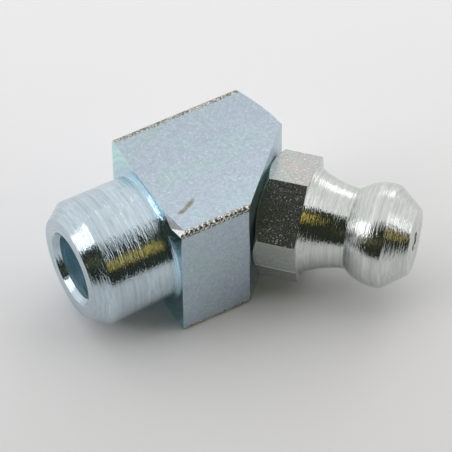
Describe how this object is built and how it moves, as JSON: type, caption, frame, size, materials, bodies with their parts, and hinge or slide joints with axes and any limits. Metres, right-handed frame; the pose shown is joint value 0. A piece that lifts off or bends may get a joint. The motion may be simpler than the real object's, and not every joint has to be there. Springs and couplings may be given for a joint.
{
  "type": "grease nipple",
  "caption": "Angled cone-head grease nipple: square elbow block with a plain drive-in spigot, and a hexagonal nipple set at 45 degrees with a sprung check ball.",
  "frame": {"origin": "on the spigot's axis, in the plane of the shoulder that stops the spigot", "axes": "+X along the spigot's axis from the shoulder into the block, so the spigot points along -X; +Z square to the plane of the two axes and up as the piece lies on its side; the nipple's axis points along +X and -Y"},
  "size_m": [0.0212, 0.0146, 0.0092],
  "materials": {
    "plated_block": "blue-clear zinc plate on drawn, turned and milled steel",
    "plated_nipple": "clear zinc plate on turned steel",
    "ball_steel": "polished hardened steel",
    "spring_wire": "drawn spring wire"
  },
  "bodies": {
    "fitting": {"elbow_block": "plated_block", "nipple": "plated_nipple", "valve_spring": "spring_wire"},
    "ball": {"check_ball": "ball_steel"}
  },
  "joints": [
    {"name": "ball_lift", "type": "slide", "parent": "fitting", "child": "ball", "axis": [-0.7071, 0.7071, 0], "range_m": [0, 0.0012], "stiffness_N_per_m": 645, "springref_m": -0.001, "deforming": ["valve_spring"]}
  ]
}
